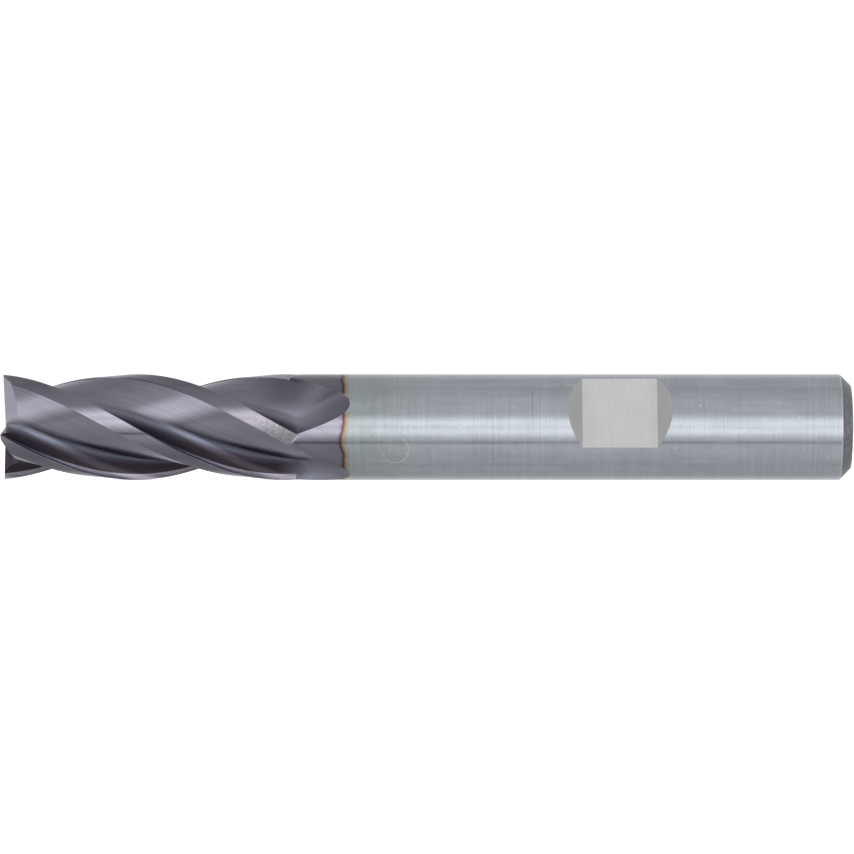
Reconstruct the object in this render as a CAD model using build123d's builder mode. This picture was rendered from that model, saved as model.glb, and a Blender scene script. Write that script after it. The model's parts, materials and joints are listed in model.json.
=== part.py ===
from build123d import *
from build123d.topology import SkipClean
import os
from math import cos, exp, radians, sin, tan

# Right-hand, right-cutting four-flute end mill, 8 mm, side-lock (Weldon) shank.
# Millimetres.  +X runs along the tool axis from the cutting end to the shank
# end, +Z is up, and the origin is the centre of the shank end face, so the
# cutting end is at X = -OVERALL_LENGTH.  A "station" is a distance along the
# tool measured from the cutting end.  A "bearing" is an angle round the axis,
# zero facing -Y and growing towards -Z.

# Whole tool
OVERALL_LENGTH = 64.0
SHANK_DIAMETER = 8.0
SHANK_CHAMFER = 0.84
SHANK_RADIUS = SHANK_DIAMETER / 2

# Side-lock flat
FLAT_CENTRE_X = -17.5
FLAT_LENGTH = 5.6
FLAT_DEPTH = 1.15
FLAT_ELEVATION = 21.5
FLAT_WALL_SLOPE = 45.0
FLAT_FLOOR_HEIGHT = SHANK_RADIUS - FLAT_DEPTH

# Teeth and helix
TEETH = 4
TOOTH_PITCH = 360.0 / TEETH
HELIX_LEAD = 44.5
HELIX_ANGLE = 29.5
BEARING_ZERO_STATION = 10.08
EDGE_RADIUS = SHANK_RADIUS

# Flute profile, seen along the axis in the frame of one tooth
RAKE_ANGLE = 8.0
VALLEY_RADIUS = 2.48
VALLEY_ANGLE = 26.0
HEEL_BULGE = 0.2
HEEL_STEP = 0.07
LAND_SPAN = 17.5
LAND_END_RADIUS = 3.8
OUTER_MARGIN = 1.35
OUTER_CORNER = 4.5

# Flute run-out: the grinding wheel leaves along the heel of the flute
RUNOUT_START = 22.2
RUNOUT_END = 26.6
RUNOUT_SLOPE = 0.97
RUNOUT_SECTIONS = 8
FLUTE_SECTION_PITCH = 1.5
FLUTE_OVERRUN = 1.7

# Relief ground on the lands
RELIEF_ANGLE = 9.53
RELIEF_LEAD_SPAN = 5.0
RELIEF_TRAIL_SPAN = 23.0
RELIEF_OUTER_RADIUS = 4.8
RELIEF_END_STATION = 22.0
RELIEF_OVERRUN = 2.0

# End teeth
END_DISH = 2.0
END_RELIEF_ANGLE = 8.0
END_RELIEF_WIDTH = 0.7
END_GASH_ANGLE = 31.0
END_GASH_RADIUS = 0.4
END_STOCK = 1.5
END_REACH = 5.0

# Back taper: the front of the tool is a little larger than the shank
FRONT_RADIUS = SHANK_RADIUS + 0.03

# Hard film: stand-in thickness for a film of a few thousandths
FILM_THICKNESS = 0.06
FILM_END_STATION = 25.7
FILM_BLANK_END = 27.4


def edge_bearing(station):
    """Bearing of the first cutting edge at a station."""
    return 360.0 * (station - BEARING_ZERO_STATION) / HELIX_LEAD


def radial_direction(bearing):
    """Outward unit vector at a bearing."""
    angle = radians(bearing)
    return Vector(0, -cos(angle), -sin(angle))


def trailing_direction(bearing):
    """Unit vector round the axis, pointing behind the cutting edge."""
    angle = radians(bearing)
    return Vector(0, sin(angle), -cos(angle))


def section_plane(station):
    """Cross-section plane: local x through the edge, local y ahead of it."""
    return Plane(
        origin=(station - OVERALL_LENGTH, 0, 0),
        x_dir=radial_direction(edge_bearing(station)),
        z_dir=(-1, 0, 0),
    )


def polar(radius, angle):
    """Point of a cross-section from its radius and angle in degrees."""
    return Vector(radius * cos(radians(angle)), radius * sin(radians(angle)))


def relief_radius(angle):
    """Radius of the relieved land at an angle ahead of the cutting edge."""
    return EDGE_RADIUS * exp(tan(radians(RELIEF_ANGLE)) * radians(angle))


# Points of the flute profile: a hollow from the edge to the valley, a heel up
# from the valley, and a small step out to the end of the land
EDGE_POINT = Vector(EDGE_RADIUS, 0)
RAKE_DIRECTION = polar(1, RAKE_ANGLE)
VALLEY = polar(VALLEY_RADIUS, VALLEY_ANGLE)
LAND_END_DIRECTION = polar(1, TOOTH_PITCH - LAND_SPAN)
HEEL_END = LAND_END_DIRECTION * (LAND_END_RADIUS - HEEL_STEP)
HEEL_CHORD = HEEL_END - VALLEY
HEEL_DIRECTION = HEEL_CHORD.normalized()
HEEL_NORMAL = Vector(HEEL_DIRECTION.Y, -HEEL_DIRECTION.X)
HEEL_MIDDLE = VALLEY + HEEL_CHORD * 0.5 + HEEL_NORMAL * HEEL_BULGE
HEEL_TOP = HEEL_END + LAND_END_DIRECTION * OUTER_MARGIN
RAKE_TOP = EDGE_POINT + RAKE_DIRECTION * OUTER_MARGIN


def runout_shift(station):
    """Distance the flute profile has left the axis along the heel."""
    return RUNOUT_SLOPE * max(0.0, station - RUNOUT_START)


def flute_stations():
    """Stations of the flute cutter's sections, from the tip to the run-out."""
    straight_length = RUNOUT_START + FLUTE_OVERRUN
    straight_count = round(straight_length / FLUTE_SECTION_PITCH)
    straight = [
        straight_length * index / straight_count - FLUTE_OVERRUN for index in range(straight_count)
    ]
    runout_length = RUNOUT_END - RUNOUT_START
    runout = [
        RUNOUT_START + runout_length * index / RUNOUT_SECTIONS
        for index in range(RUNOUT_SECTIONS + 1)
    ]
    return straight + runout


def flute_cutter(skin):
    """Solid removed by one flute, grown on all sides by the film thickness."""
    with BuildPart() as cutter:
        for station in flute_stations():
            shift = HEEL_DIRECTION * runout_shift(station)
            with BuildSketch(section_plane(station)):
                with BuildLine():
                    hollow = TangentArc(
                        EDGE_POINT + shift, VALLEY + shift, tangent=RAKE_DIRECTION * -1
                    )
                    heel = ThreePointArc(hollow @ 1, HEEL_MIDDLE + shift, HEEL_END + shift)
                    outer_corner = Vector(OUTER_CORNER, OUTER_CORNER) + shift
                    Polyline(
                        heel @ 1, HEEL_TOP + shift, outer_corner, RAKE_TOP + shift, hollow @ 0
                    )
                make_face()
                if skin > 0:
                    offset(amount=skin, kind=Kind.INTERSECTION)
        loft()
    return cutter.part


def relief_cutter(skin):
    """Solid removed from one land by its relief grind."""
    end_bearing = edge_bearing(RELIEF_END_STATION) + LAND_SPAN / 2
    slope = radians(HELIX_ANGLE)
    along_helix = Vector(cos(slope), 0, 0) + trailing_direction(end_bearing) * sin(slope)
    end_point = radial_direction(end_bearing) * SHANK_RADIUS + along_helix * skin
    end_plane = Plane(
        origin=Vector(RELIEF_END_STATION - OVERALL_LENGTH, 0, 0) + end_point, z_dir=along_helix
    )
    first_station = -RELIEF_OVERRUN
    span = RELIEF_END_STATION + 2 * RELIEF_OVERRUN
    count = round(span / FLUTE_SECTION_PITCH)
    middle_angle = (RELIEF_LEAD_SPAN - RELIEF_TRAIL_SPAN) / 2
    with BuildPart() as cutter:
        for index in range(count + 1):
            with BuildSketch(section_plane(first_station + span * index / count)):
                with BuildLine():
                    land = ThreePointArc(
                        polar(relief_radius(RELIEF_LEAD_SPAN), RELIEF_LEAD_SPAN),
                        polar(relief_radius(middle_angle), middle_angle),
                        polar(relief_radius(-RELIEF_TRAIL_SPAN), -RELIEF_TRAIL_SPAN),
                    )
                    Polyline(
                        land @ 1,
                        polar(RELIEF_OUTER_RADIUS, -RELIEF_TRAIL_SPAN),
                        polar(RELIEF_OUTER_RADIUS, RELIEF_LEAD_SPAN),
                        land @ 0,
                    )
                make_face()
                if skin > 0:
                    offset(amount=skin, kind=Kind.INTERSECTION)
        loft()
        split(bisect_by=end_plane, keep=Keep.BOTTOM)
    return cutter.part


def end_relief_cutter(skin):
    """Solid removed above the dished, relieved end of one tooth."""
    bearing = edge_bearing(0)
    dish = radians(END_DISH)
    outward = radial_direction(bearing) * cos(dish) - Vector(1, 0, 0) * sin(dish)
    centre_depth = EDGE_RADIUS * tan(dish)
    slope = tan(radians(END_RELIEF_ANGLE))
    lead = -END_RELIEF_WIDTH / 2
    plane = Plane(
        origin=Vector(centre_depth - OVERALL_LENGTH, 0, 0) - outward * skin,
        x_dir=trailing_direction(bearing),
        z_dir=outward,
    )
    with BuildPart() as cutter:
        with BuildSketch(plane):
            with BuildLine():
                Polyline(
                    (lead, lead * slope),
                    (END_REACH, END_REACH * slope),
                    (END_REACH, -END_STOCK),
                    (lead, -END_STOCK),
                    close=True,
                )
            make_face()
            if skin > 0:
                offset(amount=skin, kind=Kind.INTERSECTION)
        extrude(amount=END_REACH + skin)
    return cutter.part


def end_gash_cutter(skin):
    """Solid removed behind one end tooth, down to the gash of the next."""
    bearing = edge_bearing(0)
    gash = radians(END_GASH_ANGLE)
    trailing = trailing_direction(bearing)
    start_depth = EDGE_RADIUS * tan(radians(END_DISH))
    start_depth += END_RELIEF_WIDTH * tan(radians(END_RELIEF_ANGLE))
    start = Vector(start_depth - OVERALL_LENGTH, 0, 0) + trailing * END_RELIEF_WIDTH
    plane = Plane(
        origin=start,
        x_dir=radial_direction(bearing),
        z_dir=trailing * cos(gash) + Vector(sin(gash), 0, 0),
    )
    with BuildPart() as cutter:
        with BuildSketch(plane):
            Rectangle(END_REACH, END_REACH, align=(Align.MIN, Align.MIN))
            fillet(vertices().sort_by_distance((0, 0))[0], radius=END_GASH_RADIUS)
            if skin > 0:
                offset(amount=skin, kind=Kind.INTERSECTION)
        extrude(amount=END_REACH, both=True)
    return cutter.part


def flat_cutter():
    """Solid removed by the side-lock flat and its sloping end walls."""
    elevation = radians(FLAT_ELEVATION)
    normal = Vector(0, -cos(elevation), sin(elevation))
    side = Vector(1, 0, 0).cross(normal)
    rise = FLAT_DEPTH + 1.0
    half_floor = FLAT_LENGTH / 2
    half_top = half_floor + rise / tan(radians(FLAT_WALL_SLOPE))
    plane = Plane(
        origin=Vector(FLAT_CENTRE_X, 0, 0) + normal * FLAT_FLOOR_HEIGHT,
        x_dir=(1, 0, 0),
        z_dir=side,
    )
    with BuildPart() as cutter:
        with BuildSketch(plane):
            with BuildLine():
                Polyline(
                    (-half_floor, 0), (half_floor, 0), (half_top, rise), (-half_top, rise), close=True
                )
            make_face()
        extrude(amount=SHANK_DIAMETER, both=True)
    return cutter.part


def tooth_cutters(skin):
    """The cutters that shape one tooth."""
    return [
        flute_cutter(skin), relief_cutter(skin), end_relief_cutter(skin), end_gash_cutter(skin)
    ]


def all_round(cutters):
    """The cutters of every tooth, in order round the axis."""
    return [cutter.rotate(Axis.X, TOOTH_PITCH * tooth) for cutter in cutters for tooth in range(TEETH)]


os.makedirs("parts", exist_ok=True)

# Ground tool body: one bar from the end teeth to the shank end.  Its front is
# smaller all over by the film that covers it.  It is turned in two stretches,
# and the shank's wall stays as two faces that meet at the middle of the flat,
# so this block is not cleaned.
film_end_x = FILM_END_STATION - OVERALL_LENGTH
front_outline = [
    (-OVERALL_LENGTH, 0),
    (-OVERALL_LENGTH, FRONT_RADIUS - FILM_THICKNESS),
    (film_end_x, SHANK_RADIUS - FILM_THICKNESS),
    (film_end_x, SHANK_RADIUS),
    (FLAT_CENTRE_X, SHANK_RADIUS),
    (FLAT_CENTRE_X, 0),
]
back_outline = [
    (FLAT_CENTRE_X, 0),
    (FLAT_CENTRE_X, SHANK_RADIUS),
    (-SHANK_CHAMFER, SHANK_RADIUS),
    (0, SHANK_RADIUS - SHANK_CHAMFER),
    (0, 0),
]
with SkipClean(), BuildPart() as ground_body:
    for outline in (front_outline, back_outline):
        with BuildSketch(Plane.XZ):
            with BuildLine():
                Polyline(*outline, close=True)
            make_face()
        revolve(axis=Axis.X, clean=False)
    add(flat_cutter(), clean=False, mode=Mode.SUBTRACT)
    for cutter in all_round(tooth_cutters(FILM_THICKNESS)):
        add(cutter, clean=False, mode=Mode.SUBTRACT)
ground_body.part.label = "ground_body"
export_step(ground_body.part, "parts/ground_body.step")

# Hard film on the cutting end: it stops at a ring round the neck, and inside
# the flutes it thins out along their run-out.
with BuildPart() as hard_film:
    with BuildSketch(Plane.XZ):
        with BuildLine():
            Polyline(
                (-OVERALL_LENGTH, 0),
                (-OVERALL_LENGTH, FRONT_RADIUS),
                (film_end_x, SHANK_RADIUS),
                (FILM_BLANK_END - OVERALL_LENGTH, SHANK_RADIUS - FILM_THICKNESS),
                (FILM_BLANK_END - OVERALL_LENGTH, 0),
                close=True,
            )
        make_face()
    revolve(axis=Axis.X)
    for cutter in all_round(tooth_cutters(0)):
        add(cutter, mode=Mode.SUBTRACT)
    add(ground_body.part, mode=Mode.SUBTRACT)
hard_film.part.label = "hard_film"
export_step(hard_film.part, "parts/hard_film.step")
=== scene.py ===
import functools
import json
import math

import bmesh
import bpy
from mathutils import Matrix, Vector


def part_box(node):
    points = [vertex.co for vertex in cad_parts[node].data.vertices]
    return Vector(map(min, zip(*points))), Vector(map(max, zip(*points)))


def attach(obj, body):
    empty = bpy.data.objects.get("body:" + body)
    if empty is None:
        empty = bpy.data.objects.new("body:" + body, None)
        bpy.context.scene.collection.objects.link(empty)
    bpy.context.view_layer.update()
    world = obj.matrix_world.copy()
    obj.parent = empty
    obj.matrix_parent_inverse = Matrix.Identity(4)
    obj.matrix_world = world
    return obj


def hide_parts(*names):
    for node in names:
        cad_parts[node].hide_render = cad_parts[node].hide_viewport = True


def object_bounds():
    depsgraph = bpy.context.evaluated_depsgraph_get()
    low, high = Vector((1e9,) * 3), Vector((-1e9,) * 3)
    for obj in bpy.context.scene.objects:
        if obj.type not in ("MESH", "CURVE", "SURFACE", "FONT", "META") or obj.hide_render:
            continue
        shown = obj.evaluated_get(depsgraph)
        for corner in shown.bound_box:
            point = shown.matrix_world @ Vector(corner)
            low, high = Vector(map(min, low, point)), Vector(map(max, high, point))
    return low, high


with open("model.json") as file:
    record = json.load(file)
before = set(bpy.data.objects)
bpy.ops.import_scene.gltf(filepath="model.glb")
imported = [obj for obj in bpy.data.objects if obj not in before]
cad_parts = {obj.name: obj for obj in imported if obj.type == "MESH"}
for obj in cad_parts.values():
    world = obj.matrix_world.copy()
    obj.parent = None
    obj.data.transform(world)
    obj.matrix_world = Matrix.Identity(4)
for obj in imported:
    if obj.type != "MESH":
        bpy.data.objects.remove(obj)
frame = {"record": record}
cad_low, cad_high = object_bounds()

# Right-hand, right-cutting four-flute end mill.  Millimetres here, turned into
# metres as each mesh is made.  A station is a distance from the cutting end,
# and a bearing is an angle round the axis, zero facing -Y and growing towards
# -Z.  The frame gives the overall length, the shank radius and the flat's place.
MM = 0.001
mounts = {mount["name"]: mount for mount in frame["record"]["mounts"]}
TIP_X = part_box("hard_film")[0][0] / MM
RADIUS = mounts["shank"]["dims"]["r_mm"]
FLAT_X = mounts["weldon_flat"]["pos_m"][0] / MM
FLAT_NORMAL = Vector(mounts["weldon_flat"]["axis"])
FLAT_HEIGHT = Vector(mounts["weldon_flat"]["pos_m"]).dot(FLAT_NORMAL) / MM

# Teeth and helix
TEETH = 4
PITCH = 360.0 / TEETH
LEAD = 44.5
HELIX_ANGLE = 29.5
ZERO_STATION = 10.08
EDGE_RADIUS = RADIUS

# Flute profile in the frame of one tooth
RAKE_ANGLE = 8.0
VALLEY_RADIUS = 2.48
VALLEY_ANGLE = 26.0
HEEL_BULGE = 0.2
HEEL_STEP = 0.07
LAND_SPAN = 17.5
LAND_END_RADIUS = 3.8
PROFILE_MARGIN = 1.35
EDGE_BREAK = 0.02
CURVE_STEPS = 100
LINE_STEPS = 20

# Run-out of the flutes, end of the land relief, end of the film
RUNOUT_START = 22.2
RUNOUT_END = 26.6
RUNOUT_SLOPE = 0.97
RELIEF_END = 22.0
RELIEF_STEP = 0.12
RELIEF_ANGLE = 9.53
FILM_END = 25.7

# End teeth
END_DISH = 2.0
END_RELIEF_ANGLE = 8.0
END_RELIEF_WIDTH = 0.7
END_GASH_ANGLE = 31.0
END_GASH_RADIUS = 0.4
END_REACH = 5.0
END_STOCK = 1.5

# Shank
CHAMFER = 0.84
CORNER_ROUND = 0.05
CORNER_SET_BACK = 0.4
CORNER_STEPS = 3
WALL_RINGS = (0.15, 2.0, 8.0)
FLAT_LENGTH = 5.6
FLAT_CLEARANCE = 1.0

# Mesh fineness
HOLLOW_POINTS = 32
HEEL_POINTS = 28
STEP_POINTS = 4
FLUTE_POINTS = HOLLOW_POINTS + HEEL_POINTS + STEP_POINTS
LAND_POINTS = 56
RING_STEP = 0.25
LEAF_RINGS = 8
GASH_CORNER_STEPS = 8
HEAD_OVERRUN = 0.6
SHARP_ANGLE = 22.0
MERGE_DISTANCE = 2e-4
SLIVER_LENGTH = 1e-5
BISECTIONS = 30

# Stations between which the rings come to lean fully, and then stand straight again
LEAN_START = 17.0
LEAN_FULL = 21.0
LEAN_FALL = 22.5
LEAN_END = 25.2


def polar(radius, angle):
    """A point of a cross-section from its radius and angle in degrees."""
    return Vector((radius * math.cos(math.radians(angle)), radius * math.sin(math.radians(angle))))


def angle_of(point):
    """Angle of a cross-section point, in degrees."""
    return math.degrees(math.atan2(point.y, point.x))


def edge_bearing(station):
    """Bearing of the first cutting edge at a station."""
    return 360.0 * (station - ZERO_STATION) / LEAD


def radial(bearing):
    """Direction out from the axis at a bearing."""
    angle = math.radians(bearing)
    return Vector((0, -math.cos(angle), -math.sin(angle)))


def trailing(bearing):
    """Direction round the axis at a bearing, away from the way the tool turns."""
    angle = math.radians(bearing)
    return Vector((0, math.sin(angle), -math.cos(angle)))


def arc_through(start, middle, end, count):
    """Points of the arc through three points."""
    ax, ay, bx, by = start.x - middle.x, start.y - middle.y, end.x - middle.x, end.y - middle.y
    d = 2 * (ax * by - ay * bx)
    aa, bb = ax * ax + ay * ay, bx * bx + by * by
    centre = middle + Vector(((by * aa - ay * bb) / d, (ax * bb - bx * aa) / d))
    first, last = angle_of(start - centre), angle_of(end - centre)
    turn = (last - first + 180.0) % 360.0 - 180.0
    radius = (start - centre).length
    return [centre + polar(radius, first + turn * i / count) for i in range(count + 1)]


def line_points(start, end, count):
    """Equal steps along a straight line."""
    return [start.lerp(end, i / count) for i in range(count + 1)]


def flute_profile():
    """One flute's ground profile in three stretches, each with its number of mesh steps.

    The hollow runs from ahead of the cutting edge down to the valley, the heel
    from the valley up to the land, and the small step out past the land's end.
    """
    rake = polar(1, RAKE_ANGLE)
    inward = Vector((-rake.y, rake.x))
    edge = Vector((EDGE_RADIUS, 0))
    valley = polar(VALLEY_RADIUS, VALLEY_ANGLE)
    outward = polar(1, PITCH - LAND_SPAN)
    heel_end = outward * (LAND_END_RADIUS - HEEL_STEP)
    reach = valley - edge
    radius = reach.length_squared / (2 * reach.dot(inward))
    centre = edge + inward * radius
    first, last = angle_of(edge - centre), angle_of(valley - centre)
    turn = (last - first) % 360.0 - 360.0
    arc = [centre + polar(radius, first + turn * i / CURVE_STEPS) for i in range(CURVE_STEPS + 1)]
    chord = heel_end - valley
    along = chord.normalized()
    bulge = Vector((along.y, -along.x)) * HEEL_BULGE
    heel = arc_through(valley, valley + chord * 0.5 + bulge, heel_end, CURVE_STEPS)
    hollow = line_points(edge + rake * PROFILE_MARGIN, edge, LINE_STEPS) + arc[1:]
    step = line_points(heel_end, heel_end + outward * PROFILE_MARGIN, LINE_STEPS)
    return ((hollow, HOLLOW_POINTS), (heel, HEEL_POINTS), (step, STEP_POINTS)), along


STRETCHES, HEEL_DIRECTION = flute_profile()


def resample(points, count):
    """Points at equal steps along a polyline."""
    lengths = [0.0]
    for a, b in zip(points, points[1:]):
        lengths.append(lengths[-1] + (b - a).length)
    out, k = [], 0
    for i in range(count + 1):
        target = lengths[-1] * i / count
        while k < len(points) - 2 and lengths[k + 1] < target:
            k += 1
        span = lengths[k + 1] - lengths[k]
        out.append(points[k].lerp(points[k + 1], (target - lengths[k]) / span if span else 0.0))
    return out


def crossing(inside, outside, radius):
    """Point between two where the distance from the axis is the radius."""
    low, high = inside, outside
    for _ in range(BISECTIONS):
        middle = low.lerp(high, 0.5)
        if middle.length < radius:
            low = middle
        else:
            high = middle
    return low


def runout_shift(station):
    """How far the profile has left along the heel at a station."""
    return RUNOUT_SLOPE * max(0.0, station - RUNOUT_START)


def clipped(points, limit):
    """The run of a polyline that lies nearer to the axis than a radius."""
    inside = [i for i, point in enumerate(points) if point.length < limit]
    if not inside:
        return []
    first, last = inside[0], inside[-1]
    run = points[first:last + 1]
    if first > 0:
        run.insert(0, crossing(points[first], points[first - 1], limit))
    if last < len(points) - 1:
        run.append(crossing(points[last], points[last + 1], limit))
    return run


def flute_points(shift, land_end_radius):
    """Mesh points of the shifted flute, from the cutting edge to the land's end.

    A stretch that has left the cylinder collapses into a point.
    """
    move = HEEL_DIRECTION * shift
    out = []
    for points, count in STRETCHES:
        run = clipped([point + move for point in points], land_end_radius if out else RADIUS)
        if run:
            out += resample(run, count)[1 if out else 0:]
        elif out:
            out += [out[-1]] * count
    return out


def leaf_end_station():
    """Where the flutes have left the cylinder."""
    low, high = RUNOUT_START, RUNOUT_END + 1.0
    for _ in range(BISECTIONS):
        middle = (low + high) / 2
        if flute_points(runout_shift(middle), RADIUS):
            low = middle
        else:
            high = middle
    return low


LEAF_END = leaf_end_station()


def break_corner(land, flute):
    """Rounds the cutting edge by a hair between the land and the flute."""
    edge = flute[0]
    land[-1] = edge + (land[-2] - edge).normalized() * EDGE_BREAK
    flute[0] = edge + (flute[1] - edge).normalized() * EDGE_BREAK


@functools.lru_cache(maxsize=None)
def sector(shift, relieved):
    """Land and flute points of one tooth for a run-out shift, in the tooth's frame."""
    flute = flute_points(shift, LAND_END_RADIUS if relieved else RADIUS)
    first, last = angle_of(flute[-1]) - PITCH, angle_of(flute[0])
    slope = math.tan(math.radians(RELIEF_ANGLE)) if relieved else 0.0
    land = []
    for i in range(LAND_POINTS):
        angle = first + (last - first) * i / (LAND_POINTS - 1)
        land.append(polar(min(RADIUS, EDGE_RADIUS * math.exp(slope * math.radians(angle))), angle))
    if relieved:
        break_corner(land, flute)
    return land + flute[:-1]


def slant_weight(station):
    """How far a ring leans: fully where the land relief ends, not at all at the head's ends."""
    rise = (station - LEAN_START) / (LEAN_FULL - LEAN_START)
    fall = (LEAN_END - station) / (LEAN_END - LEAN_FALL)
    return max(0.0, min(1.0, rise, fall))


def slant_of(index):
    """Offset along the axis of a ring point, so that rings lie square to the helix on the lands."""
    half = math.tan(math.radians(HELIX_ANGLE)) * math.radians(LAND_SPAN / 2) * RADIUS
    if index < LAND_POINTS:
        return half * (2 * index / (LAND_POINTS - 1) - 1)
    return half * (1 - 2 * (index - LAND_POINTS) / FLUTE_POINTS)


def ring(station, relieved):
    """World points of a full ring round the tool."""
    weight = slant_weight(station)
    cells = []
    for index in range(LAND_POINTS + FLUTE_POINTS):
        place = station + slant_of(index) * weight
        cells.append((place, sector(runout_shift(min(place, LEAF_END)), relieved)[index]))
    out = []
    for tooth in range(TEETH):
        for place, point in cells:
            bearing = edge_bearing(place) - PITCH * tooth
            spot = radial(bearing) * point.x - trailing(bearing) * point.y
            out.append(Vector((TIP_X + place, spot.y, spot.z)))
    return out


def skin_rings(mesh, rings):
    """Quads between rings of equal length; returns the vertex rings."""
    rows = [[mesh.verts.new(point) for point in points] for points in rings]
    for low, high in zip(rows, rows[1:]):
        for i in range(len(low)):
            j = (i + 1) % len(low)
            mesh.faces.new((low[i], low[j], high[j], high[i]))
    return rows


def finish_mesh(mesh, name):
    """Object from a bmesh: merged, outward normals, smooth with sharp edges kept."""
    bmesh.ops.remove_doubles(mesh, verts=mesh.verts[:], dist=MERGE_DISTANCE)
    bmesh.ops.dissolve_degenerate(mesh, dist=SLIVER_LENGTH, edges=mesh.edges[:])
    bmesh.ops.recalc_face_normals(mesh, faces=mesh.faces[:])
    data = bpy.data.meshes.new(name)
    mesh.to_mesh(data)
    mesh.free()
    made = bpy.data.objects.new(name, data)
    bpy.context.scene.collection.objects.link(made)
    mark_sharp(made)
    return made


def mark_sharp(piece):
    """Smooth faces, with edges sharper than the limit kept crisp."""
    mesh = bmesh.new()
    mesh.from_mesh(piece.data)
    for face in mesh.faces:
        face.smooth = True
    for edge in mesh.edges:
        edge.smooth = not (
            len(edge.link_faces) == 2 and edge.calc_face_angle(0) > math.radians(SHARP_ANGLE)
        )
    mesh.to_mesh(piece.data)
    mesh.free()


def subtract(piece, tools):
    """Cuts tool objects out of a piece, removes them, and turns the piece into metres."""
    for tool in tools:
        cut = piece.modifiers.new("cut", "BOOLEAN")
        cut.operation = "DIFFERENCE"
        cut.solver = "MANIFOLD"
        cut.object = tool
    depsgraph = bpy.context.evaluated_depsgraph_get()
    data = bpy.data.meshes.new_from_object(piece.evaluated_get(depsgraph))
    piece.modifiers.clear()
    piece.data = data
    for tool in tools:
        bpy.data.objects.remove(tool)
    mark_sharp(piece)
    piece.data.transform(Matrix.Scale(MM, 4))


def prism(name, outline, origin, x_axis, y_axis, depth):
    """A cutter: an outline in the plane of two axes, extruded along depth."""
    mesh = bmesh.new()
    near = [mesh.verts.new(origin + x_axis * x + y_axis * y) for x, y in outline]
    far = [mesh.verts.new(origin + x_axis * x + y_axis * y + depth) for x, y in outline]
    mesh.faces.new(near)
    mesh.faces.new(far)
    for i in range(len(near)):
        j = (i + 1) % len(near)
        mesh.faces.new((near[i], near[j], far[j], far[i]))
    return finish_mesh(mesh, name)


def end_relief_tool(tooth):
    """Cutter in front of one end tooth: dished along it, relieved behind its edge."""
    bearing = edge_bearing(0) + PITCH * tooth
    dish = math.radians(END_DISH)
    outward = radial(bearing) * math.cos(dish) - Vector((math.sin(dish), 0, 0))
    axial = Vector((math.cos(dish), 0, 0)) + radial(bearing) * math.sin(dish)
    slope = math.tan(math.radians(END_RELIEF_ANGLE))
    lead = -END_RELIEF_WIDTH / 2
    origin = Vector((TIP_X + EDGE_RADIUS * math.tan(dish), 0, 0))
    outline = [
        (lead, lead * slope), (END_REACH, END_REACH * slope), (END_REACH, -END_STOCK), (lead, -END_STOCK)
    ]
    return prism("relief", outline, origin, trailing(bearing), axial, outward * END_REACH)


def end_gash_tool(tooth):
    """Cutter of the steep gash behind one end tooth, round in its corner."""
    bearing = edge_bearing(0) + PITCH * tooth
    gash = math.radians(END_GASH_ANGLE)
    depth = EDGE_RADIUS * math.tan(math.radians(END_DISH))
    depth += END_RELIEF_WIDTH * math.tan(math.radians(END_RELIEF_ANGLE))
    along = trailing(bearing) * math.cos(gash) + Vector((math.sin(gash), 0, 0))
    outside = trailing(bearing) * math.sin(gash) - Vector((math.cos(gash), 0, 0))
    start = Vector((TIP_X + depth, 0, 0)) + trailing(bearing) * END_RELIEF_WIDTH
    centre = Vector((END_GASH_RADIUS, END_GASH_RADIUS))
    corner = [
        centre + polar(END_GASH_RADIUS, 270 - 90 * i / GASH_CORNER_STEPS)
        for i in range(GASH_CORNER_STEPS + 1)
    ]
    outline = [(END_REACH, 0)] + [tuple(point) for point in corner]
    outline += [(0, END_REACH), (END_REACH, END_REACH)]
    back = start - along * END_REACH
    return prism("gash", outline, back, radial(bearing), outside, along * 2 * END_REACH)


def stations_between(start, end):
    """Ring stations at nearly equal steps."""
    count = max(1, round((end - start) / RING_STEP))
    return [start + (end - start) * i / count for i in range(count + 1)]


def make_head():
    """The coated cutting end: flutes, relieved lands, end teeth and the coated neck."""
    mesh = bmesh.new()
    relieved = stations_between(-HEAD_OVERRUN, RELIEF_END - RELIEF_STEP / 2)
    full = stations_between(RELIEF_END + RELIEF_STEP / 2, FILM_END)
    rings = [ring(station, True) for station in relieved] + [ring(station, False) for station in full]
    rows = skin_rings(mesh, rings)
    mesh.faces.new(rows[0])
    mesh.faces.new(rows[-1])
    head = finish_mesh(mesh, "coated_head")
    subtract(head, [end_gash_tool(k) for k in range(TEETH)] + [end_relief_tool(k) for k in range(TEETH)])
    return head


def shank_profile():
    """Axial places and radii of the shank from the run-out to the chamfered end."""
    corner = math.radians(45.0)
    length = -TIP_X
    turns = [corner * i / CORNER_STEPS for i in range(CORNER_STEPS + 1)]
    out = [(LEAF_END + x, RADIUS) for x in WALL_RINGS]
    for turn in turns:
        out.append((
            length - CHAMFER - CORNER_ROUND + 2 * CORNER_ROUND * math.sin(turn),
            RADIUS - CORNER_ROUND * (1 - math.cos(turn)),
        ))
    for turn in turns:
        out.append((
            length - CORNER_ROUND * (1 - math.sin(turn + corner)),
            RADIUS - CHAMFER + CORNER_ROUND * (math.cos(turn + corner) - CORNER_SET_BACK),
        ))
    return out


def flat_tool():
    """Cutter of the side-lock flat with its sloping end walls."""
    side = Vector((1, 0, 0)).cross(FLAT_NORMAL)
    rise = RADIUS - FLAT_HEIGHT + FLAT_CLEARANCE
    half = FLAT_LENGTH / 2
    outline = [(-half, 0), (half, 0), (half + rise, rise), (-half - rise, rise)]
    origin = Vector((FLAT_X, 0, 0)) + FLAT_NORMAL * FLAT_HEIGHT - side * RADIUS * 2
    return prism("flat", outline, origin, Vector((1, 0, 0)), FLAT_NORMAL, side * RADIUS * 4)


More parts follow.
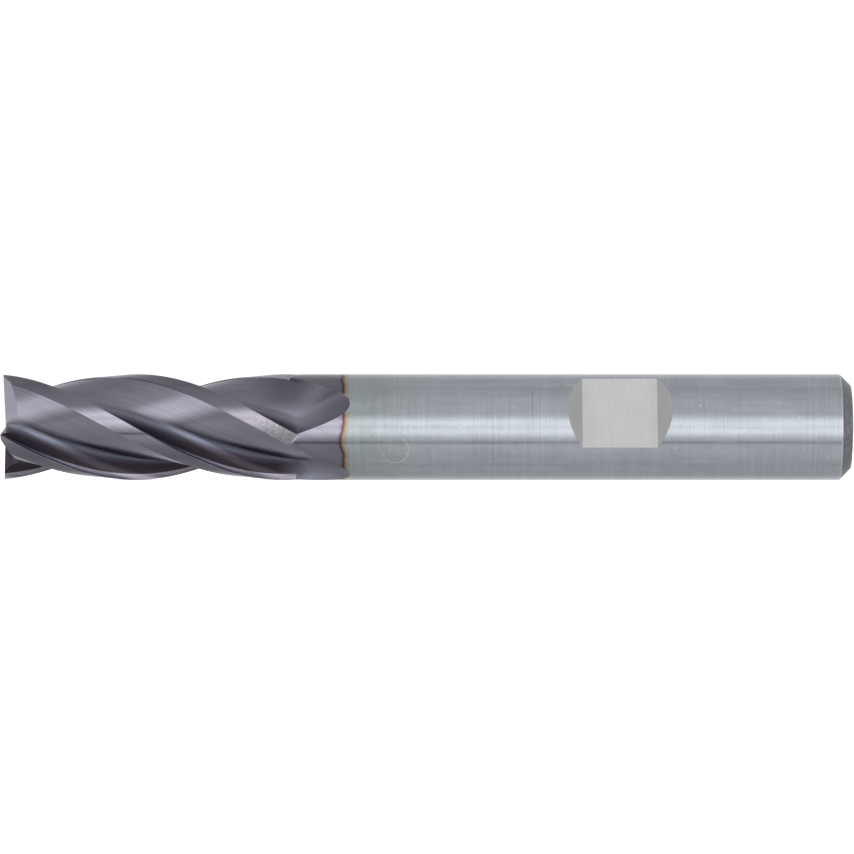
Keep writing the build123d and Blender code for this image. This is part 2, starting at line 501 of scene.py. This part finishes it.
def make_shank():
    """The bare ground steel behind the film: run-out tips, shank, flat and chamfer."""
    mesh = bmesh.new()
    leaf = LEAF_END - FILM_END
    rings = [ring(FILM_END + leaf * i / LEAF_RINGS, False) for i in range(LEAF_RINGS + 1)]
    last = rings[-1]
    for place, radius in shank_profile():
        rings.append([
            Vector((TIP_X + place, point.y * radius / RADIUS, point.z * radius / RADIUS))
            for point in last
        ])
    rows = skin_rings(mesh, rings)
    mesh.faces.new(rows[0])
    mesh.faces.new(rows[-1])
    shank = finish_mesh(mesh, "ground_shank")
    subtract(shank, [flat_tool()])
    return shank


head = make_head()
shank = make_shank()
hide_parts("hard_film")
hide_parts("ground_body")
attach(head, "root")
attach(shank, "root")


# Looks -----------------------------------------------------------------


class Nodes:
    """Short helpers for a node tree."""

    def __init__(self, tree):
        self.tree = tree
        tree.nodes.clear()

    def add(self, kind, **settings):
        node = self.tree.nodes.new(kind)
        for key, value in settings.items():
            setattr(node, key, value)
        return node

    def link(self, output, target):
        self.tree.links.new(output, target)

    def fill(self, sockets, values):
        """Gives each socket its value: a link, a number or a colour."""
        for socket, value in zip(sockets, values):
            if isinstance(value, bpy.types.NodeSocket):
                self.link(value, socket)
            elif isinstance(value, tuple):
                socket.default_value = (*value, 1)
            else:
                socket.default_value = value

    def math(self, operation, *values):
        node = self.add("ShaderNodeMath", operation=operation)
        self.fill(node.inputs, values)
        return node.outputs[0]

    def step(self, value, low, high):
        """Smooth step from 0 at low to 1 at high; high may be the smaller."""
        node = self.add("ShaderNodeMapRange", interpolation_type="SMOOTHSTEP")
        self.fill(node.inputs, (value, low, high))
        return node.outputs[0]

    def band(self, value, low, high, soft):
        """One inside a band of values, zero outside it."""
        rise = self.step(value, low - soft, low + soft)
        fall = self.step(value, high + soft, high - soft)
        return self.math("MULTIPLY", rise, fall)

    def vector(self, x, y, z):
        node = self.add("ShaderNodeCombineXYZ")
        self.fill(node.inputs, (x, y, z))
        return node.outputs[0]

    def around(self, value, middle, swing):
        """A 0 to 1 value turned into middle plus or minus swing."""
        return self.math("MULTIPLY_ADD", value, 2 * swing, middle - swing)

    def ramp(self, factor, stops):
        node = self.add("ShaderNodeValToRGB")
        elements = node.color_ramp.elements
        elements[0].position, elements[-1].position = stops[0][0], stops[-1][0]
        for place, _ in stops[1:-1]:
            elements.new(place)
        for element, (_, colour) in zip(elements, stops):
            element.color = (*colour, 1)
        self.link(factor, node.inputs[0])
        return node.outputs[0]

    def mix(self, factor, first, second, blend="MIX"):
        node = self.add("ShaderNodeMix", data_type="RGBA", blend_type=blend)
        self.fill((node.inputs[0], node.inputs[6], node.inputs[7]), (factor, first, second))
        return node.outputs[2]

    def blend(self, factor, first, second):
        """Mix of two numbers."""
        node = self.add("ShaderNodeMix", data_type="FLOAT")
        self.fill((node.inputs[0], node.inputs[2], node.inputs[3]), (factor, first, second))
        return node.outputs[0]

    def noise(self, vector, scale, detail=2.0, roughness=0.5):
        node = self.add("ShaderNodeTexNoise")
        node.inputs["Scale"].default_value = scale
        node.inputs["Detail"].default_value = detail
        node.inputs["Roughness"].default_value = roughness
        self.link(vector, node.inputs["Vector"])
        return node.outputs["Fac"]


FLOOR_GLOW = 0.45
FLOOR_REACH = 3.0


def make_floor():
    """White table that glows a little, and that reflections in the tool don't see."""
    mesh = bmesh.new()
    corners = ((-1, -1), (1, -1), (1, 1), (-1, 1))
    mesh.faces.new([
        mesh.verts.new((x * FLOOR_REACH, y * FLOOR_REACH, cad_low[2])) for x, y in corners
    ])
    data = bpy.data.meshes.new("floor")
    mesh.to_mesh(data)
    mesh.free()
    floor = bpy.data.objects.new("floor", data)
    bpy.context.scene.collection.objects.link(floor)
    material = bpy.data.materials.new("floor")
    material.use_nodes = True
    nodes = Nodes(material.node_tree)
    path = nodes.add("ShaderNodeLightPath")
    diffuse = nodes.add("ShaderNodeBsdfDiffuse")
    diffuse.inputs["Color"].default_value = (0.93, 0.93, 0.93, 1)
    clear = nodes.add("ShaderNodeBsdfTransparent")
    fill = nodes.add("ShaderNodeEmission")
    fill.inputs["Strength"].default_value = FLOOR_GLOW
    lit = nodes.add("ShaderNodeAddShader")
    nodes.link(diffuse.outputs[0], lit.inputs[0])
    nodes.link(fill.outputs[0], lit.inputs[1])
    both = nodes.add("ShaderNodeMixShader")
    nodes.link(path.outputs["Is Glossy Ray"], both.inputs[0])
    nodes.link(lit.outputs[0], both.inputs[1])
    nodes.link(clear.outputs[0], both.inputs[2])
    out = nodes.add("ShaderNodeOutputMaterial")
    nodes.link(both.outputs[0], out.inputs["Surface"])
    floor.data.materials.append(material)


# Light tent that only reflections see, as strengths of light
TENT_WALL = 0.32
BACK_LIGHT = 0.44
FRONT_LIGHT = 0.10
TUBES_LIGHT = 0.64
TUBES_GAP = 0.17
SEAM_SHADE = 0.08
FLAG_SHADE = 0.22
ROOM_LIGHT = (1.1, 1.1, 1.1)


def tent_light(nodes, angle):
    """Strength of the tent's light at an angle up from straight ahead, in degrees.

    Two bright tubes lie side by side ahead of the tool, with a thin dark flag
    under them. The tent's seams are above and below, and its back is bright.
    """
    aside = nodes.math("ABSOLUTE", angle)
    parts = (
        (BACK_LIGHT, nodes.step(aside, 118.0, 184.0)),
        (FRONT_LIGHT, nodes.step(aside, 85.0, 35.0)),
        (TUBES_LIGHT, nodes.step(aside, 31.0, 6.0)),
        (-TUBES_GAP, nodes.step(aside, 8.0, 1.0)),
        (-SEAM_SHADE, nodes.band(aside, 90.0, 94.0, 8.0)),
        (-FLAG_SHADE, nodes.band(angle, -37.5, -31.5, 1.5)),
    )
    level = TENT_WALL
    for strength, part in parts:
        level = nodes.math("MULTIPLY_ADD", part, strength, level)
    return nodes.vector(level, level, level)


def make_world():
    """Light tent in reflections, plain white for everything else."""
    world = bpy.data.worlds.new("tent")
    bpy.context.scene.world = world
    world.use_nodes = True
    nodes = Nodes(world.node_tree)
    coordinates = nodes.add("ShaderNodeTexCoord")
    split = nodes.add("ShaderNodeSeparateXYZ")
    nodes.link(coordinates.outputs["Generated"], split.inputs[0])
    front = nodes.math("MULTIPLY", split.outputs["Y"], -1.0)
    angle = nodes.math("ARCTAN2", split.outputs["Z"], front)
    tent = tent_light(nodes, nodes.math("MULTIPLY", angle, 180 / math.pi))
    path = nodes.add("ShaderNodeLightPath")
    glossy = nodes.mix(path.outputs["Is Glossy Ray"], ROOM_LIGHT, tent)
    background = nodes.add("ShaderNodeBackground")
    nodes.link(glossy, background.inputs["Color"])
    out = nodes.add("ShaderNodeOutputWorld")
    nodes.link(background.outputs[0], out.inputs["Surface"])


CAMERA_DISTANCE = 0.43
VIEW_WIDTH = 0.06458
SENSOR = 36.0


def make_camera():
    """Square on to the tool, from in front, with a long lens."""
    data = bpy.data.cameras.new("camera")
    data.sensor_width = SENSOR
    data.lens = SENSOR * CAMERA_DISTANCE / VIEW_WIDTH
    data.clip_start = 0.01
    data.clip_end = 20.0
    camera = bpy.data.objects.new("camera", data)
    bpy.context.scene.collection.objects.link(camera)
    middle = (cad_low[0] + cad_high[0]) / 2
    camera.location = (middle, -CAMERA_DISTANCE, 0)
    camera.rotation_euler = (math.radians(90), 0, 0)
    bpy.context.scene.camera = camera


def tool_coordinates(nodes):
    """Places on the tool in millimetres and degrees, worked out from object coordinates."""
    coordinates = nodes.add("ShaderNodeTexCoord")
    split = nodes.add("ShaderNodeSeparateXYZ")
    nodes.link(coordinates.outputs["Object"], split.inputs[0])
    x, y, z = (nodes.math("MULTIPLY", split.outputs[axis], 1 / MM) for axis in "XYZ")
    place = {"x": x, "y": y, "z": z, "station": nodes.math("SUBTRACT", x, TIP_X)}
    squares = nodes.math("MULTIPLY_ADD", y, y, nodes.math("MULTIPLY", z, z))
    place["radius"] = nodes.math("SQRT", squares)
    back, up = nodes.math("MULTIPLY", z, -1.0), nodes.math("MULTIPLY", y, -1.0)
    bearing = nodes.math("ARCTAN2", back, up)
    rate = 2 * math.pi / LEAD
    edge = nodes.math("MULTIPLY_ADD", place["station"], rate, -ZERO_STATION * rate)
    ahead = nodes.math("SUBTRACT", edge, bearing)
    degrees = nodes.math("MULTIPLY", ahead, 180 / math.pi)
    place["tooth"] = nodes.math("FLOORED_MODULO", degrees, PITCH)
    place["untwist_x"] = nodes.math("MULTIPLY", nodes.math("COSINE", ahead), place["radius"])
    place["untwist_y"] = nodes.math("MULTIPLY", nodes.math("SINE", ahead), place["radius"])
    heights = nodes.math("MULTIPLY", z, FLAT_NORMAL.z)
    place["height"] = nodes.math("MULTIPLY_ADD", y, FLAT_NORMAL.y, heights)
    place["from_flat"] = nodes.math("ABSOLUTE", nodes.math("SUBTRACT", x, FLAT_X))
    return place


# Ground steel: tints behind the film and along the shank, and two wear marks
FRONT_STEEL_COLOUR = (0.53, 0.585, 0.61)
STEEL_COLOUR = (0.63, 0.67, 0.73)
STEEL_METALLIC = 0.86
SCRATCH_STATION = 29.6
SCRATCH_HEIGHT = -1.7
SCRATCH_RADIUS = 1.0
NICK_STATION = 39.9
MARK_HALF_WIDTH = 0.02


def noise_at(nodes, place, scales, detail=2.0, roughness=0.5, axes=("x", "y", "z")):
    """Noise with its own fineness along each of three places, in waves a millimetre."""
    parts = [nodes.math("MULTIPLY", place[axis], scale) for axis, scale in zip(axes, scales)]
    return nodes.noise(nodes.vector(*parts), 1.0, detail, roughness)


def wear_marks(nodes, place):
    """A curved scratch and a short dark nick on the near side of the shank: light and dark amounts."""
    near_side = nodes.step(place["y"], 0.0, -0.5)
    across = nodes.math("SUBTRACT", place["station"], SCRATCH_STATION)
    up = nodes.math("SUBTRACT", place["z"], SCRATCH_HEIGHT)
    squares = nodes.math("MULTIPLY_ADD", across, across, nodes.math("MULTIPLY", up, up))
    from_centre = nodes.math("SQRT", squares)
    circle = nodes.band(
        from_centre, SCRATCH_RADIUS - MARK_HALF_WIDTH, SCRATCH_RADIUS + MARK_HALF_WIDTH, 0.03
    )
    open_side = nodes.step(nodes.math("SUBTRACT", up, nodes.math("MULTIPLY", across, 0.8)), 0.75, 0.35)
    scratch = nodes.math("MULTIPLY", nodes.math("MULTIPLY", circle, open_side), near_side)
    line = nodes.band(
        place["station"], NICK_STATION - MARK_HALF_WIDTH, NICK_STATION + MARK_HALF_WIDTH, 0.03
    )
    nick = nodes.math("MULTIPLY", line, nodes.band(place["z"], 0.8, 2.8, 0.15))
    return scratch, nodes.math("MULTIPLY", nick, near_side)


def steel_look(nodes, place):
    """Ground steel: fine rings round the shank, a matte flat, a rough dark chamfer with a painted
    highlight along its corner.
    """
    lines = noise_at(nodes, place, (7.0, 0.05, 0.05), 3.0, 0.7)
    bands = noise_at(nodes, place, (0.5, 0.1, 0.25), 2.0)
    streaks = noise_at(nodes, place, (0.16, 2.6, 2.6), 2.0)
    smears = noise_at(nodes, place, (0.45, 0.8, 0.8), 4.0, 0.6)
    specks = nodes.step(noise_at(nodes, place, (5.0, 5.0, 5.0), 1.0), 0.73, 0.76)
    pips = nodes.step(noise_at(nodes, place, (3.1, 4.2, 4.2), 1.0), 0.26, 0.23)
    shade = nodes.math("MULTIPLY", nodes.around(lines, 1.0, 0.17), nodes.around(bands, 1.0, 0.08))
    shade = nodes.math("MULTIPLY", shade, nodes.around(streaks, 1.0, 0.1))
    shade = nodes.math("MULTIPLY", shade, nodes.around(smears, 1.0, 0.12))
    shade = nodes.math("MULTIPLY", shade, nodes.math("MULTIPLY_ADD", specks, -0.3, 1.0))
    shade = nodes.math("MULTIPLY", shade, nodes.math("MULTIPLY_ADD", pips, 0.25, 1.0))
    front = nodes.step(place["station"], 33.0, 27.0)
    base = nodes.mix(front, STEEL_COLOUR, FRONT_STEEL_COLOUR)
    scratch, nick = wear_marks(nodes, place)
    shade = nodes.math("MULTIPLY", shade, nodes.math("MULTIPLY_ADD", nick, -0.35, 1.0))
    shade = nodes.math("MULTIPLY", shade, nodes.math("MULTIPLY_ADD", scratch, 0.45, 1.0))
    colour = nodes.mix(1.0, base, nodes.vector(shade, shade, shade), "MULTIPLY")
    rough = nodes.math("ADD", nodes.around(bands, 0.13, 0.03), nodes.around(smears, 0.0, 0.05))

    below_wall = nodes.step(place["radius"], RADIUS - 0.01, RADIUS - 0.03)
    near_flat = nodes.step(place["from_flat"], 5.0, 4.9)
    cut_flat = nodes.math("MULTIPLY", below_wall, near_flat)
    floor = nodes.step(place["height"], FLAT_HEIGHT + 0.04, FLAT_HEIGHT + 0.02)
    across = noise_at(nodes, place, (9.0, 0.4, 0.4), 2.0, 0.6)
    pale = nodes.math("MULTIPLY", nodes.around(across, 0.58, 0.07), nodes.blend(floor, 0.66, 1.0))
    pale = nodes.math("MULTIPLY", pale, nodes.around(smears, 1.0, 0.06))
    colour = nodes.mix(cut_flat, colour, nodes.vector(pale, pale, nodes.math("MULTIPLY", pale, 1.01)))
    rough = nodes.blend(cut_flat, rough, 0.42)
    metallic = nodes.blend(cut_flat, STEEL_METALLIC, 0.35)

    corner = -TIP_X - CHAMFER
    end = nodes.step(place["station"], corner - 0.01, corner + 0.05)
    mottle = noise_at(nodes, place, (4.0, 3.0, 3.0), 4.0, 0.65)
    grit = noise_at(nodes, place, (9.0, 7.0, 7.0), 2.0, 0.6)
    dark = nodes.math("MULTIPLY", nodes.around(mottle, 0.27, 0.2), nodes.around(grit, 1.0, 0.4))
    end_face = nodes.step(place["station"], -TIP_X - 0.03, -TIP_X - 0.01)
    dark = nodes.blend(end_face, dark, nodes.around(mottle, 0.5, 0.12))
    cool = nodes.vector(dark, nodes.math("MULTIPLY", dark, 0.99), nodes.math("MULTIPLY", dark, 1.1))
    colour = nodes.mix(end, colour, cool)
    # Painted highlight: a light line along the corner where the chamfer meets the wall.
    painted_corner_highlight = nodes.band(place["station"], corner - 0.05, corner + 0.05, 0.02)
    colour = nodes.mix(nodes.math("MULTIPLY", painted_corner_highlight, 0.7), colour, (0.85, 0.87, 0.93))
    rough = nodes.blend(end, rough, nodes.around(mottle, 0.42, 0.12))
    grain = nodes.blend(end, nodes.around(lines, 0.5, 0.12), mottle)
    return colour, rough, metallic, grain


def film_edge(nodes, place):
    """Distance past the wavy edge of the film along the tool."""
    slow = noise_at(nodes, place, (0.0, 0.45, 0.45), 2.0, 0.6)
    quick = noise_at(nodes, place, (0.0, 2.2, 2.2), 2.0, 0.6)
    sway = nodes.math("ADD", nodes.around(slow, 0.0, 0.55), nodes.around(quick, 0.0, 0.12))
    return nodes.math("SUBTRACT", nodes.math("SUBTRACT", place["station"], FILM_END), sway)


def film_look(nodes, place):
    """Violet-grey nitride film over ground flutes and lands.

    Painted shade and painted highlights sit here by place: by the angle within a
    tooth, the height and the distance from the tip. The hollows and the valley line
    are painted dark, a bluish highlight is painted across each hollow, the painted
    shade differs above and below the axis, and a highlight band is painted across
    the lands and neck at the front's height.
    """
    untwisted = ("station", "untwist_x", "untwist_y")
    brushed = noise_at(nodes, place, (0.2, 10.0, 10.0), 3.0, 0.65, untwisted)
    broad = noise_at(nodes, place, (0.1, 1.3, 1.3), 2.0, 0.5, untwisted)
    cloud = noise_at(nodes, place, (0.5, 0.6, 0.6), 2.0)
    tooth = place["tooth"]
    land = nodes.step(tooth, PITCH - LAND_SPAN - 0.3, PITCH - LAND_SPAN + 0.3)
    outside = nodes.step(place["radius"], LAND_END_RADIUS - 0.06, LAND_END_RADIUS - 0.03)
    land = nodes.math("MULTIPLY", land, outside)
    # The relief stops on a line square to the helix, as the rings of the mesh do
    lean = math.tan(math.radians(HELIX_ANGLE)) * math.radians(1.0) * RADIUS
    behind = nodes.math("SUBTRACT", PITCH, tooth)
    along = nodes.math("MULTIPLY_ADD", behind, lean, place["station"])
    relief_line = RELIEF_END + lean * LAND_SPAN / 2
    relieved = nodes.step(along, relief_line + 0.02, relief_line - 0.02)
    land = nodes.math("MULTIPLY", land, relieved)
    on_wall = nodes.step(place["radius"], RADIUS - 0.015, RADIUS - 0.005)
    neck = nodes.math("MULTIPLY", on_wall, nodes.math("SUBTRACT", 1.0, relieved))
    neck = nodes.math("MULTIPLY", neck, nodes.step(place["station"], RELIEF_END - 1.0, RELIEF_END - 0.6))
    outer = nodes.math("MAXIMUM", land, neck)

    valley = VALLEY_ANGLE / PITCH
    # Painted shade and highlight across each flute, by the angle within a tooth: dark behind the cutting
    # edge, a bluish painted highlight mid-hollow, a dark painted valley line, then the lighter heel.
    depth = nodes.ramp(nodes.math("DIVIDE", tooth, PITCH), [
        (0.0, (0.15, 0.12, 0.13)), (0.05, (0.12, 0.10, 0.12)), (0.11, (0.22, 0.21, 0.25)),
        (0.18, (0.50, 0.55, 0.64)), (0.24, (0.32, 0.33, 0.38)), (valley - 0.01, (0.14, 0.13, 0.16)),
        (valley + 0.03, (0.36, 0.35, 0.38)), (0.42, (0.82, 0.82, 0.86)), (0.8, (0.86, 0.83, 0.88)),
    ])
    # Painted shade by height: below the axis the flute ramp's painted shade and highlight show in full,
    # above it they fade to an even grey, and the run-out look starts sooner there.
    open_side = nodes.step(place["z"], -0.3, 2.2)
    depth = nodes.mix(open_side, depth, (0.7, 0.7, 0.75))
    inwards = nodes.math("MULTIPLY_ADD", open_side, 3.0, place["station"])
    full = nodes.step(inwards, RUNOUT_START + 2.2, RUNOUT_START - 1.8)
    # Painted light and shade in the run-out: darker on the upper side, lighter on the lower side.
    runout = nodes.mix(open_side, (0.80, 0.82, 0.87), (0.38, 0.38, 0.41))
    depth = nodes.mix(full, runout, depth)
    depth = nodes.mix(outer, depth, (0.90, 0.87, 0.92))
    # Painted highlight band on the lands and neck: full colour at the front's height, painted darker
    # above and below it.
    painted_highlight_band = nodes.blend(outer, 1.0, nodes.blend(nodes.band(place["z"], -1.0, 1.4, 0.6), 0.66, 1.0))
    base = nodes.mix(cloud, (0.60, 0.565, 0.63), (0.58, 0.59, 0.67))
    colour = nodes.mix(1.0, base, depth, "MULTIPLY")
    shade = nodes.math("MULTIPLY", nodes.around(brushed, 1.0, 0.26), nodes.around(broad, 1.0, 0.14))
    plain = nodes.math("MULTIPLY", nodes.math("SUBTRACT", 1.0, full), nodes.math("SUBTRACT", 1.0, outer))
    shade = nodes.math("MULTIPLY", nodes.blend(plain, shade, 1.0), painted_highlight_band)
    colour = nodes.mix(1.0, colour, nodes.vector(shade, shade, shade), "MULTIPLY")

    speckle = noise_at(nodes, place, (6.0, 6.0, 6.0), 3.0, 0.7)
    worn = nodes.math("MULTIPLY", land, nodes.step(place["station"], 17.5, 20.5))
    pale = nodes.around(speckle, 0.62, 0.6)
    tinted = nodes.vector(pale, nodes.math("MULTIPLY", pale, 0.95), nodes.math("MULTIPLY", pale, 1.04))
    colour = nodes.mix(nodes.math("MULTIPLY", worn, 0.85), colour, tinted)
    flute_rough = nodes.blend(full, 0.5, nodes.around(brushed, 0.24, 0.06))
    rough = nodes.blend(outer, flute_rough, nodes.around(brushed, 0.1, 0.03))
    rough = nodes.blend(worn, rough, nodes.around(speckle, 0.36, 0.1))
    grain = nodes.blend(worn, brushed, speckle)
    return colour, rough, grain


# Interference colours across the thin edge of the film: millimetres past the start, and tint
WHITE = (1.0, 1.0, 1.0)
TEMPER_START = 0.3
TEMPER_COLOURS = [
    (0.0, WHITE), (0.16, (0.75, 0.78, 1.0)), (0.26, (0.30, 0.22, 0.40)), (0.32, (0.55, 0.22, 0.14)),
    (0.42, (0.95, 0.50, 0.22)), (0.52, (1.0, 0.78, 0.50)), (0.62, (0.92, 0.88, 0.78)), (0.8, WHITE),
]
BUMP_STRENGTH = 0.35
BUMP_DEPTH = 4e-6


def tool_material(name):
    """Steel and film in one material, so that the film's wavy edge crosses from piece to piece."""
    material = bpy.data.materials.new(name)
    material.use_nodes = True
    nodes = Nodes(material.node_tree)
    place = tool_coordinates(nodes)
    steel, steel_rough, steel_metallic, steel_grain = steel_look(nodes, place)
    film, film_rough, film_grain = film_look(nodes, place)
    past = film_edge(nodes, place)
    recess = nodes.math(
        "MULTIPLY",
        nodes.step(place["radius"], RADIUS - 0.015, RADIUS - 0.03),
        nodes.step(place["station"], LEAF_END + 0.2, LEAF_END + 0.1),
    )
    coated = nodes.math("MAXIMUM", nodes.step(past, 0.03, -0.03), recess)
    tint = nodes.ramp(nodes.math("ADD", past, TEMPER_START), TEMPER_COLOURS)
    tint = nodes.mix(recess, tint, WHITE)
    colour = nodes.mix(1.0, nodes.mix(coated, steel, film), tint, "MULTIPLY")
    shader = nodes.add("ShaderNodeBsdfPrincipled")
    nodes.link(colour, shader.inputs["Base Color"])
    nodes.link(nodes.blend(coated, steel_rough, film_rough), shader.inputs["Roughness"])
    nodes.link(nodes.blend(coated, steel_metallic, 1.0), shader.inputs["Metallic"])
    bump = nodes.add("ShaderNodeBump")
    bump.inputs["Strength"].default_value = BUMP_STRENGTH
    bump.inputs["Distance"].default_value = BUMP_DEPTH
    nodes.link(nodes.blend(coated, steel_grain, film_grain), bump.inputs["Height"])
    nodes.link(bump.outputs[0], shader.inputs["Normal"])
    out = nodes.add("ShaderNodeOutputMaterial")
    nodes.link(shader.outputs[0], out.inputs["Surface"])
    return material


make_floor()
make_world()
make_camera()
bpy.context.scene.view_settings.view_transform = "Standard"
shank.data.materials.clear()
shank.data.materials.append(tool_material("ground_steel"))
head.data.materials.clear()
head.data.materials.append(tool_material("nitride_film"))
